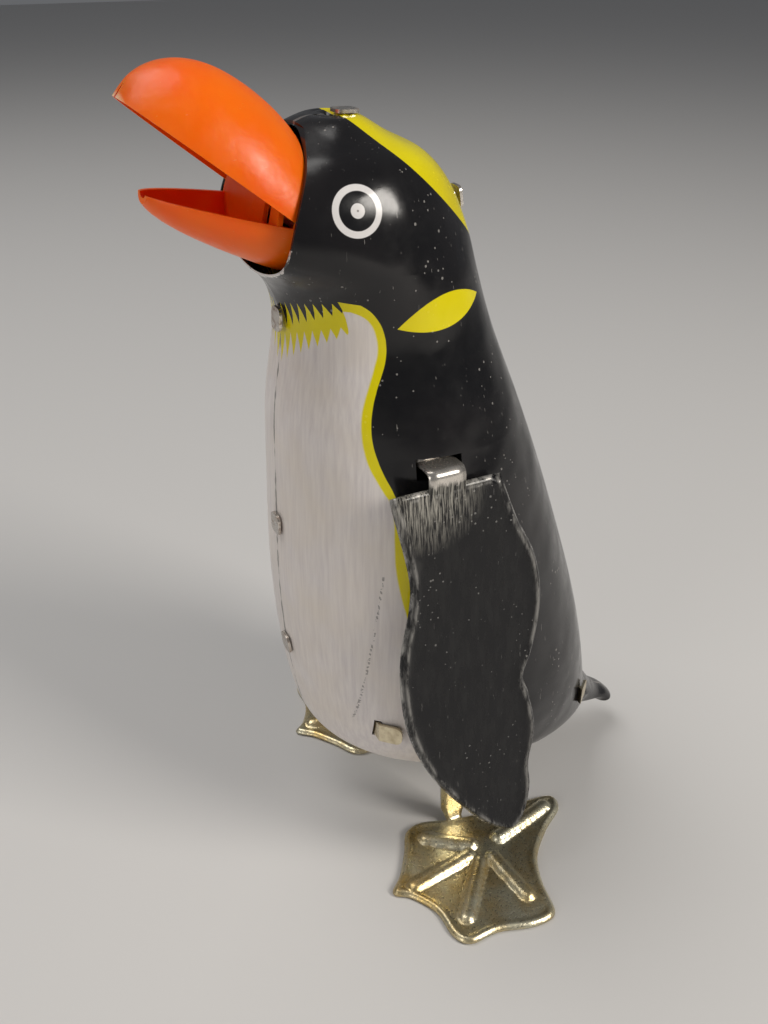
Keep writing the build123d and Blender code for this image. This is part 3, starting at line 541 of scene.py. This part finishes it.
heel = Vector((29.5, 16.9))
toe_ribs = [Vector(spot) for spot in ((20.3, 5.3), (32.0, -4.1), (45.2, 2.8), (46.1, 19.0), (24.4, 38.2))]
web_top, rib_half, rib_rise = 1.0, 1.9, 1.7
foot_loop = smooth_line([
    (16.0, 2.0), (21.3, -1.3), (27.3, -5.6), (31.2, -9.5), (34.3, -6.1), (40.5, -2.7), (47.9, -2.3),
    (51.3, 0.4), (51.4, 7.5), (53.9, 16.0), (52.9, 22.2), (44.4, 24.4), (37.1, 27.8), (30.9, 34.7),
    (26.2, 41.8), (21.6, 41.4), (20.2, 29.0), (17.6, 15.0), (15.0, 7.0)], 9, closed=True)


def foot_height(spot, from_edge):
    """Height of the pressed sheet: low rim with a rolled bead, flat web, a rounded rib up each toe."""
    rim_drop = 0.6 * max(0.0, 1 - from_edge / 0.8) ** 2
    top = web_top - rim_drop + 0.35 * math.exp(-((from_edge - 1.0) / 0.5) ** 2)
    for toe in toe_ribs:
        reach = toe - heel
        share = max(0.24, min(1.0, (spot - heel).dot(reach) / reach.length_squared))
        away = (spot - heel - reach * share).length
        if away < rib_half:
            round_top = rib_rise * math.sqrt(1 - (away / rib_half) ** 2)
            top = max(top, web_top + round_top * (1.15 - 0.35 * share))
    return top + 0.7 * math.exp(-((spot - heel).length / 3.4) ** 2)


foot_spots, foot_triangles = sheet_pattern(foot_loop, 0.62, (0.3, 0.65, 1.0, 1.4))
foot_heights = [foot_height(spot, edge_distance(spot, foot_loop)) for spot in foot_spots]
for side, name in ((1, "left"), (-1, "right")):
    build = bmesh.new()
    corners = [build.verts.new(metres(side * spot.x, spot.y, top))
               for spot, top in zip(foot_spots, foot_heights)]
    for triangle in foot_triangles:
        build.faces.new([corners[k] for k in triangle])
    # the leg strip rises from the inner edge of the foot; its front edge slants back at the bottom
    strip = [(20.5, 0.9, 13.5), (18.6, 1.1, 13.2), (17.5, 1.7, 12.9), (17.15, 2.8, 12.5),
             (17.1, 6.0, 11.3), (17.1, 12.0, 11.0), (17.1, 24.0, 11.0), (17.1, 36.0, 11.0),
             (17.1, 38.6, 12.2), (17.1, 39.8, 13.8)]
    add_strip(build, [[build.verts.new(metres(side * x, front + share * (30 - 2 * front), z))
                       for share in (0, 0.25, 0.5, 0.75, 1)] for x, z, front in strip])
    foot = finished_piece(name + "_foot", build, foot_metal, foot_wall)
    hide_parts(name + "_leg")
    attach(foot, "legs")

# ---------------------------------------------------------------- floor, light and camera
# Plain pale floor; a warm soft box above and behind the left side, a broad one overhead and a weak one in
# front, with a dim even sky.
floor_mesh = bpy.data.meshes.new("floor")
floor_mesh.from_pydata([(-3, -3, 0), (3, -3, 0), (3, 3, 0), (-3, 3, 0)], [], [(0, 1, 2, 3)])
floor = bpy.data.objects.new("floor", floor_mesh)
bpy.context.scene.collection.objects.link(floor)
pale, tree, shader = new_finish("pale_floor")
shader.inputs["Base Color"].default_value = (0.62, 0.61, 0.6, 1)
shader.inputs["Roughness"].default_value = 0.8
floor_mesh.materials.append(pale)

world = bpy.data.worlds.new("studio")
world.use_nodes = True
world.node_tree.nodes["Background"].inputs["Color"].default_value = (0.8, 0.82, 0.86, 1)
world.node_tree.nodes["Background"].inputs["Strength"].default_value = 0.16
bpy.context.scene.world = world
bpy.context.scene.view_settings.view_transform = "Standard"


def soft_light(name, where, aim, size, power, colour):
    """A square soft box aimed at a point."""
    data = bpy.data.lights.new(name, "AREA")
    data.size = size
    data.energy = power
    data.color = colour
    lamp = bpy.data.objects.new(name, data)
    lamp.location = where
    lamp.rotation_euler = (Vector(aim) - Vector(where)).to_track_quat("-Z", "Y").to_euler()
    bpy.context.scene.collection.objects.link(lamp)


soft_light("key_light", (0.62, 0.42, 0.52), (0.0, 0.0, 0.1), 0.3, 5.5, (1.0, 0.95, 0.88))
soft_light("top_light", (-0.35, -0.35, 1.1), (0.0, 0.0, 0.05), 0.8, 6.5, (1.0, 0.98, 0.95))
soft_light("front_light", (0.35, -0.9, 0.35), (0.0, 0.0, 0.08), 0.5, 1.8, (1.0, 0.97, 0.93))

lens = bpy.data.cameras.new("camera")
lens.sensor_fit = "VERTICAL"
lens.sensor_height = 36.0
lens.lens = 35.16
lens.clip_start = 0.01
camera = bpy.data.objects.new("camera", lens)
camera.location = (0.1745, -0.0835 - neck / 1000, 0.2039)
around, above, roll = math.radians(63.6), math.radians(30.7), math.radians(0.1)
away = Vector((math.sin(around) * math.cos(above), -math.cos(around) * math.cos(above), math.sin(above)))
upright_view = away.to_track_quat("Z", "Y").to_matrix()
camera.rotation_euler = (Matrix.Rotation(roll, 3, away) @ upright_view).to_euler()
bpy.context.scene.collection.objects.link(camera)
bpy.context.scene.camera = camera
